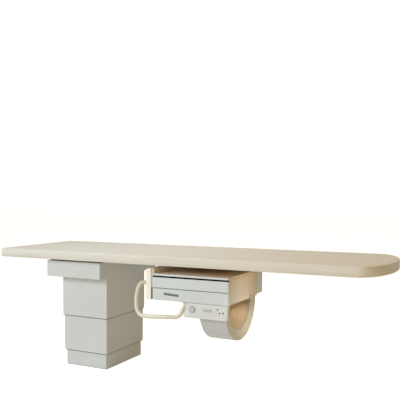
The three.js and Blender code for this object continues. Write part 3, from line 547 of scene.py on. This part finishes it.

# near-black strip in the slot under the top cover, painted shade; one point of its face in every ribEvery
# stands out as a rib
slotShadeStrip = {"setBack": 5, "rib": 1.2, "clear": 0.2, "ends": 1, "facePoints": 9, "ribEvery": 4}
clear, ends = slotShadeStrip["clear"] * mm, slotShadeStrip["ends"] * mm
back, face = unitLow.y - clear, frontLow.y + slotShadeStrip["setBack"] * mm
low, high = frontHigh.z + clear, lidLow.z - clear
levels = np.linspace(low, high, slotShadeStrip["facePoints"])
onRib = np.arange(slotShadeStrip["facePoints"]) % slotShadeStrip["ribEvery"] == slotShadeStrip["ribEvery"] // 2
rise = np.where(onRib, slotShadeStrip["rib"] * mm, 0.0)
outline = np.concatenate([np.stack([face - rise, levels], -1), [[back, high], [back, low]]])
points, faces = carryStraight(outline, frontLow.x + ends, frontHigh.x - ends, 0)
makePiece("slot_shade_strip", points, faces, slotShadeBlack, "bucky")

# the slot beside the front panels: a grey strip down its length as painted shade, and a pale filler beside
# the upper panel
slotTrim = {"slot": 12, "slotFloor": 12, "floorGap": 0.1, "setBack": 4.5, "clear": 0.4, "radius": 3,
            "ends": 2, "fillerWidth": 7.5, "fillerBack": 1.2, "fillerGap": 0.5}
slotLeft, slotRight = frontLow.x - slotTrim["slot"] * mm, frontLow.x - slotTrim["clear"] * mm
slotFloor = frontLow.y + (slotTrim["slotFloor"] - slotTrim["floorGap"]) * mm
ends = slotTrim["ends"] * mm
strips = {
    "corner_shade_strip": (slotLeft + slotTrim["clear"] * mm, slotTrim["setBack"],
                      leftLow.z + ends, trayHigh.z, cornerShadeGrey, "dark"),
    "slot_filler": (slotRight - slotTrim["fillerWidth"] * mm, slotTrim["fillerBack"],
                    trayHigh.z + slotTrim["fillerGap"] * mm, lidHigh.z - ends,
                    materials["moulding"], "moulding"),
}
for name, (left, back, low, high, finish, slot) in strips.items():
    outline, _ = roundedPath((left, frontLow.y + back * mm), (slotRight, slotFloor),
                             slotTrim["radius"] * mm)
    points, faces = carryStraight(outline, low, high, 2)
    makePiece(name, points, faces, finish, "bucky")

# beige capping over the right edge of the top cover: an L carried from front to back
capping = {"skin": 0.8, "clear": 0.25, "onTop": 11.5, "ends": 3, "footGap": 0.8}
edgeX, edgeZ = lidHigh.x + capping["clear"] * mm, lidHigh.z + capping["clear"] * mm
skin, inner = capping["skin"] * mm, lidHigh.x - capping["onTop"] * mm
foot = lidLow.z + capping["footGap"] * mm
outline = np.array([[inner, edgeZ], [edgeX, edgeZ], [edgeX, foot], [edgeX + skin, foot],
                    [edgeX + skin, edgeZ + skin / 2], [edgeX + skin / 2, edgeZ + skin],
                    [inner, edgeZ + skin]])
points, faces = carryStraight(outline, lidLow.y + capping["ends"] * mm, lidHigh.y - capping["ends"] * mm, 1)
makePiece("lid_capping", points, faces, materials["beige"], "bucky")

# grey liner of the tray's finger grip, painted shade in its hollow: a dish of depth
# (1 - u^endCurve) * (1 - v^edgeCurve), its ends drawn in a little
gripLiner = {"x": -112, "z": 36, "length": 93.5, "height": 11.6, "slant": 2.5, "depth": 5.8, "sunk": 0.4,
             "wall": 0.5, "endCurve": 14, "edgeCurve": 6, "drawIn": 0.12, "drawCurve": 20,
             "steps": (49, 17), "smooth": 60.0}
uSteps, vSteps = gripLiner["steps"]
u, v = np.meshgrid(np.linspace(-1, 1, uSteps), np.linspace(-1, 1, vSteps), indexing="ij")
dish = (1 - np.abs(u) ** gripLiner["endCurve"]) * (1 - np.abs(v) ** gripLiner["edgeCurve"])
drawn = 1 - gripLiner["drawIn"] * np.abs(u) ** gripLiner["drawCurve"]
gx = u * gripLiner["length"] / 2
gz = v * gripLiner["height"] / 2 * drawn - u * gripLiner["slant"]
points = np.stack([unitMiddle + (gripLiner["x"] + gx) * mm,
                   trayLow.y + (gripLiner["sunk"] + gripLiner["depth"] * dish) * mm,
                   unitLow.z + (gripLiner["z"] + gz) * mm], -1)
faces = gridFaces(uSteps, vSteps, False, False)
liner = makePiece("grip_liner", points, faces, gripShadeGrey, "tray", gripLiner["smooth"])
thicken(liner, gripLiner["wall"] * mm, -1.0)
print("unit trims made")

# control panel: lenses, button ring and key marks

panelProud = 10   # face of the panel in front of the housing
lampLens = {"radius": 4.7, "proud": 2.0, "rim": 0.4, "sunk": 0.6, "steps": 24, "arcSteps": 7,
            "smooth": 50.0,
            "places": [(168.5, -23), (180, -41), (200, -39)]}   # from the unit's centre line and underside
panelFace = unitLow.y - panelProud * mm
arc = np.linspace(0, np.pi / 2, lampLens["arcSteps"])
dome = np.stack([lampLens["radius"] * np.cos(arc), lampLens["rim"] + lampLens["proud"] * np.sin(arc)], -1)
lensFoot = [[0.0, -lampLens["sunk"]], [lampLens["radius"], -lampLens["sunk"]]]
lensProfile = np.concatenate([lensFoot, dome]) * mm
for i, (x, z) in enumerate(lampLens["places"]):
    place = (unitMiddle + x * mm, panelFace, unitLow.z + z * mm)
    points, faces = turned(lensProfile, lampLens["steps"], [place], facingFront)
    makePiece(f"lamp_lens_{i + 1}", points, faces, lensTints[i], "bucky", lampLens["smooth"])

buttonRing = {"outer": 18.6, "inner": 15.2, "proud": 0.9, "shoulder": 0.6, "chamfer": 0.5, "sunk": 0.3,
              "bezelProud": 2.0, "steps": 40}   # shoulder: share of proud
buttonLow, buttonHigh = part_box("release_button")
place = ((buttonLow.x + buttonHigh.x) / 2, panelFace - buttonRing["bezelProud"] * mm,
         (buttonLow.z + buttonHigh.z) / 2)
outer, inner, sunk, chamfer = (buttonRing[k] for k in ("outer", "inner", "sunk", "chamfer"))
ringTop, shoulder = buttonRing["proud"], buttonRing["proud"] * buttonRing["shoulder"]
ringProfile = np.array([[inner, -sunk], [outer, -sunk], [outer, shoulder], [outer - chamfer, ringTop],
                        [inner + chamfer, ringTop], [inner, shoulder], [inner, -sunk]]) * mm
points, faces = turned(ringProfile, buttonRing["steps"], [place], facingFront)
makePiece("button_ring", points, faces, ringGrey, "bucky")

keyMark = {"length": 7.0, "width": 1.8, "proud": 0.35, "sunk": 0.2,
           "round": 0.45}   # share of the width
reach = np.array([keyMark["length"], keyMark["width"]]) / 2 * mm
for i in range(3):
    keyLow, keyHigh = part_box(f"panel_key_{i + 1}")
    centre = np.array([(keyLow.x + keyHigh.x) / 2, (keyLow.z + keyHigh.z) / 2])
    outline, _ = roundedPath(centre - reach, centre + reach, keyMark["width"] * keyMark["round"] * mm)
    face, back = keyLow.y - keyMark["proud"] * mm, keyLow.y + keyMark["sunk"] * mm
    points, faces = carryStraight(outline, face, back, 1)
    makePiece(f"key_mark_{i + 1}", points, faces, markGrey, f"key_{i + 1}")
print("controls made")

# cable guard: a cream skin over its rounded lip, and a liner inside whose tan is painted warm bounce light

guardShape = {"drop": 10, "wall": 16, "endWall": 14, "mouth": 161,
              "lipDepth": 16, "lipRound": 9, "lipFlare": 34}
guardLow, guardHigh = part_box("cable_guard")
guardMiddle, axisZ = (guardLow.y + guardHigh.y) / 2, guardHigh.z - guardShape["drop"] * mm
guardRadius = (guardHigh.y - guardLow.y) / 2


def lowerHalf(openEnds, steps):
    # angles of the lower half turn, left open by a share of a half turn at each end
    return np.linspace(np.pi * (1 + openEnds), np.pi * (2 - openEnds), steps)


def sweepRound(radius, along, angle):
    # a profile of (radius, x) turned about the guard's axis through the given angles
    ring = np.broadcast_to(radius[None, :], (len(angle), len(radius)))
    x = np.broadcast_to(along[None, :], ring.shape)
    y, z = guardMiddle + ring * np.cos(angle)[:, None], axisZ + ring * np.sin(angle)[:, None]
    return np.stack([x, y, z], -1)


# the lip's own curve: straight out of the mouth, a quarter ellipse, then flat to the rim, with its normals
lipSkin = {"clear": 0.3, "skin": 1.0, "edge": 5, "tunnel": 1, "curveSteps": 13, "steps": 73,
           "openEnds": 0.012, "smooth": 60.0}
t = np.linspace(0, np.pi / 2, lipSkin["curveSteps"])
flare, lipRound = guardShape["lipFlare"] * mm, guardShape["lipRound"] * mm
mouth = guardShape["mouth"] * mm
curve = np.stack([mouth + flare * (1 - np.cos(t)), guardHigh.x - lipRound * (1 - np.sin(t))], -1)
curveOut = np.stack([-np.cos(t) / flare, np.sin(t) / lipRound], -1)
curveOut /= np.linalg.norm(curveOut, axis=-1, keepdims=True)
tunnel = np.array([[mouth, guardHigh.x - (guardShape["lipDepth"] - lipSkin["tunnel"]) * mm]])
rim = np.array([[guardRadius - lipSkin["edge"] * mm, guardHigh.x]])
curve = np.concatenate([tunnel, curve, rim])
curveOut = np.concatenate([[[-1.0, 0.0]], curveOut, [[0.0, 1.0]]])
under = curve + curveOut * lipSkin["clear"] * mm
over = curve + curveOut * (lipSkin["clear"] + lipSkin["skin"]) * mm
profile = np.concatenate([over, under[::-1]])
points = sweepRound(profile[:, 0], profile[:, 1], lowerHalf(lipSkin["openEnds"], lipSkin["steps"]))
faces = cappedFaces(lipSkin["steps"], len(profile))
makePiece("guard_lip_skin", points, faces, lipCream, "bucky", lipSkin["smooth"])

# the liner: a half cylinder that turns in to the closed end
guardLiner = {"clear": 0.3, "skin": 0.6, "hub": 0.02, "short": 1, "endSteps": 8, "runSteps": 6, "steps": 73,
              "openEnds": 0.004, "smooth": 50.0}   # hub: share of the radius
behind = guardLiner["clear"] + guardLiner["skin"]
linerRadius = guardRadius - (guardShape["wall"] + behind) * mm
endX = guardLow.x + (guardShape["endWall"] + behind) * mm
openX = guardHigh.x - (guardShape["lipDepth"] + guardLiner["short"]) * mm
endSteps, runSteps = guardLiner["endSteps"], guardLiner["runSteps"]
along = np.concatenate([np.full(endSteps, endX), np.linspace(endX, openX, runSteps + 1)[1:]])
reach = np.concatenate([np.linspace(guardLiner["hub"], 1.0, endSteps), np.ones(runSteps)]) * linerRadius
points = sweepRound(reach, along, lowerHalf(guardLiner["openEnds"], guardLiner["steps"]))
faces = gridFaces(guardLiner["steps"], endSteps + runSteps, False, False)
liner = makePiece("guard_liner", points, faces, guardBounceTan, "bucky", guardLiner["smooth"])
thicken(liner, guardLiner["skin"] * mm, 0.0)

# strap from the side cover down to the lip: a flat rounded section carried along a bent path in (x, z)
strap = {"y": -0.03,   # metres
         "width": 60, "thick": 5, "edgeRadius": 2.2, "rise": 22, "under": 5.5, "proud": 3.2,
         "kneeHigh": 1, "knee": (2, 1.5), "kneeRun": 12, "lipGap": 0.4, "steps": 40, "soften": 5,
         "smooth": 40.0}
sideLow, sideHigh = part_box("side_cover_right")
out, bend = sideHigh.x + strap["proud"] * mm, sideLow.z - strap["under"] * mm
kneeX, kneeZ = strap["knee"]
corners = np.array([[out, sideLow.z + strap["rise"] * mm], [out, sideLow.z + strap["kneeHigh"] * mm],
                    [out - kneeX * mm, bend + kneeZ * mm], [out - strap["kneeRun"] * mm, bend],
                    [guardHigh.x + strap["lipGap"] * mm, bend]])
t = np.linspace(0, len(corners) - 1, strap["steps"])
spot = np.stack([np.interp(t, np.arange(len(corners)), corners[:, i]) for i in (0, 1)], -1)
# corners rounded by a running mean that reaches soften steps each way
weight = np.hanning(2 * strap["soften"] + 1)
weight /= weight.sum()
padded = np.pad(spot, ((strap["soften"], strap["soften"]), (0, 0)), "edge")
spot = np.stack([np.convolve(padded[:, i], weight, "valid") for i in (0, 1)], -1)
run = np.gradient(spot, axis=0)
run /= np.linalg.norm(run, axis=-1, keepdims=True)
side = np.stack([-run[:, 1], run[:, 0]], -1)
half = np.array([strap["width"], strap["thick"]]) / 2
section, _ = roundedPath(-half, half, strap["edgeRadius"])
plan = spot[:, None, :] + section[None, :, 1:2] * mm * side[:, None, :]
across = np.broadcast_to(strap["y"] + section[None, :, 0] * mm, plan.shape[:2])
points = np.stack([plan[..., 0], across, plan[..., 1]], -1)
faces = cappedFaces(strap["steps"], len(section))
makePiece("guard_strap", points, faces, lipCream, "bucky", strap["smooth"])
print("guard trim made")

# screws that hold the covers, on the sides away from the operator

screw = {"radius": 5.5, "dome": 2.6, "socket": 2.6, "socketDepth": 1.6, "sunk": 0.2, "inset": 24,
         "clearOfLift": 102, "steps": 24, "arcSteps": 8, "arcKept": 6}   # the arc stops short of the socket
arc = np.linspace(0, np.pi / 2, screw["arcSteps"])[:screw["arcKept"]]
capArc = np.stack([screw["radius"] * np.cos(arc), screw["dome"] * np.sin(arc)], -1)
socketFloor = screw["dome"] - screw["socketDepth"]
screwProfile = np.concatenate([[[0.0, -screw["sunk"]], [screw["radius"], -screw["sunk"]]], capArc,
                               [[screw["socket"], screw["dome"]], [screw["socket"], socketFloor],
                                [0.0, socketFloor]]]) * mm
inset = screw["inset"] * mm


def makeBackScrews(name, node, body, low, high):
    nodeLow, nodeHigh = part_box(node)
    places = [(x, nodeHigh.y, z) for x in (nodeLow.x + inset, nodeHigh.x - inset) for z in (low, high)]
    points, faces = turned(screwProfile, screw["steps"], places, facingBack)
    makePiece(name, points, faces, materials["steel"], body)


upperLow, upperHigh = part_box("upper_cover")
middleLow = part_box("middle_cover")[0]
carriageLow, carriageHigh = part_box("rear_carriage")
headLow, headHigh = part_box("head_cover")
middleTop = upperLow.z - screw["clearOfLift"] * mm   # stays below the upper cover when the lift is down
makeBackScrews("upper_cover_screws", "upper_cover", "head", upperLow.z + inset, upperHigh.z - inset)
makeBackScrews("middle_cover_screws", "middle_cover", "middle", middleLow.z + inset, middleTop)
makeBackScrews("head_cover_screws", "head_cover", "head", headLow.z + inset, headHigh.z - inset)
makeBackScrews("carriage_screws", "rear_carriage", "bucky", carriageLow.z + inset, carriageHigh.z - inset)
print("screws made")

# floor, backdrop and light

studio = {
    "floorSize": 60.0,     # metres
    "floorDrop": 1,        # below the floor plate
    "floorShade": "f4f3f0",
    "floorGlow": 0.85,     # white of the floor that shadows can't darken
    "ambient": 0.3,
    "ambientTint": "ffe7b8",
    "lamps": [
        # name, place, aim, size (metres), watts, tint, beam in degrees
        ("key", (-2.7, -5.5, 2.9), (0.3, 0.0, 0.6), 2.6, 238.0, "e4f1ff", 180),
        ("topCool", (0.1, -0.6, 3.6), (0.1, 0.0, 0.7), 1.4, 5.0, "dcecff", 64),
        ("topWarm", (2.0, -0.3, 3.4), (1.4, 0.0, 0.7), 1.8, 7.6, "ffdca8", 120),
        ("warmFront", (2.9, -3.2, 1.5), (1.0, -0.3, 0.62), 1.2, 1.8, "ffc888", 60),
        ("sideFill", (2.9, -0.8, 0.55), (1.04, -0.13, 0.59), 0.25, 0.055, "fff4e6", 10),
        ("mouthFill", (2.1, -2.0, 1.15), (0.98, 0.02, 0.33), 0.2, 0.1, "fff6ea", 6),
    ],
}


def seenByLens(tree):
    # 1 for what the camera sees, straight or in a reflection, and 0 for the light that falls on the object
    rays = addNode(tree, "ShaderNodeLightPath")
    mirror = addNode(tree, "ShaderNodeMath", {"operation": "MAXIMUM"},
                     {0: rays.outputs["Is Glossy Ray"], 1: rays.outputs["Is Transmission Ray"]})
    seen = addNode(tree, "ShaderNodeMath", {"operation": "MAXIMUM"},
                   {0: rays.outputs["Is Camera Ray"], 1: mirror.outputs["Value"]})
    return seen.outputs["Value"]


def makeFloor(s):
    # matt, so that it keeps the shadow, with a glow that only the camera sees
    half, level = s["floorSize"] / 2, -s["floorDrop"] * mm
    corners = [(-half, -half, level), (half, -half, level), (half, half, level), (-half, half, level)]
    mesh = bpy.data.meshes.new("floor")
    mesh.from_pydata(corners, [], [(0, 1, 2, 3)])
    floor = bpy.data.objects.new("floor", mesh)
    bpy.context.scene.collection.objects.link(floor)
    material = bpy.data.materials.new("paleFloor")
    material.use_nodes = True
    tree = material.node_tree
    tree.nodes.clear()
    share = addNode(tree, "ShaderNodeMath", {"operation": "MULTIPLY", 1: s["floorGlow"]},
                    {0: seenByLens(tree)})
    matt = addNode(tree, "ShaderNodeBsdfDiffuse", {"Color": linear(s["floorShade"])})
    glow = addNode(tree, "ShaderNodeEmission", {"Color": (1, 1, 1, 1)},
                   {"Strength": share.outputs["Value"]})
    both = addNode(tree, "ShaderNodeAddShader", None,
                   {0: matt.outputs["BSDF"], 1: glow.outputs["Emission"]})
    addNode(tree, "ShaderNodeOutputMaterial", None, {"Surface": both.outputs["Shader"]})
    mesh.materials.append(material)


def makeWorld(s):
    world = bpy.data.worlds.new("studio")
    bpy.context.scene.world = world
    world.use_nodes = True
    tree = world.node_tree
    tree.nodes.clear()
    soft = addNode(tree, "ShaderNodeBackground",
                   {"Color": linear(s["ambientTint"]), "Strength": s["ambient"]})
    white = addNode(tree, "ShaderNodeBackground", {"Color": (1, 1, 1, 1), "Strength": 1.0})
    mix = addNode(tree, "ShaderNodeMixShader", None,
                  {0: seenByLens(tree), 1: soft.outputs["Background"], 2: white.outputs["Background"]})
    addNode(tree, "ShaderNodeOutputWorld", None, {"Surface": mix.outputs["Shader"]})


def makeLamps(s):
    for name, place, aim, size, watts, tint, beam in s["lamps"]:
        data = bpy.data.lights.new(name, "AREA")
        data.shape = "DISK"
        data.size = size
        data.energy = watts
        data.spread = math.radians(beam)
        data.color = linear(tint)[:3]
        lamp = bpy.data.objects.new(name, data)
        lamp.location = place
        lamp.rotation_mode = "QUATERNION"
        lamp.rotation_quaternion = (Vector(aim) - Vector(place)).to_track_quat("-Z", "Y")
        bpy.context.scene.collection.objects.link(lamp)


makeFloor(studio)
makeWorld(studio)
makeLamps(studio)
bpy.context.scene.view_settings.view_transform = "Standard"
print("studio lit")
